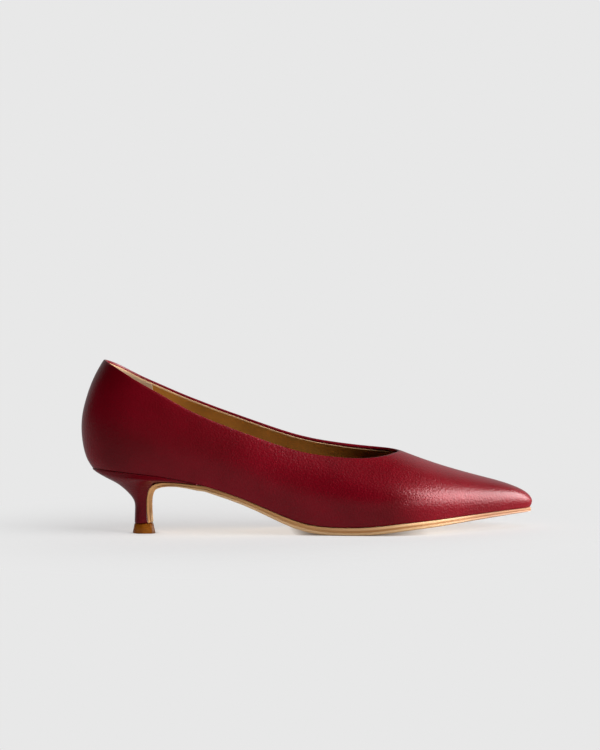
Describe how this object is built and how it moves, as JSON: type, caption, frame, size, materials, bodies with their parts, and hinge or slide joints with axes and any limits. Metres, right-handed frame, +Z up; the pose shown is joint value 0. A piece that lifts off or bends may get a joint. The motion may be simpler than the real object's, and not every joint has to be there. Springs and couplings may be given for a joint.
{
  "type": "kitten heel pump",
  "caption": "Slip-on pump with a long tapered toe, a deep rounded opening, a thin leather sole and a low slim curved heel.",
  "frame": {"origin": "middle of the flat foot of the heel tip, on the floor", "axes": "+X towards the toe, +Y towards the inner side of the foot, +Z up"},
  "size_m": [0.2597, 0.0777, 0.0997],
  "materials": {
    "upper_leather": "smooth burgundy calf, polished",
    "sole_leather": "natural pale tan, waxed edge",
    "heel_cover": "burgundy leather stretched over the heel block, polished",
    "top_piece": "brown wearing tip, satin",
    "insole": "tan lining leather over board, matt"
  },
  "bodies": {
    "root": {"upper": "upper_leather", "outsole": "sole_leather", "heel": "heel_cover", "top_piece": "top_piece", "insole": "insole"}
  },
  "joints": []
}
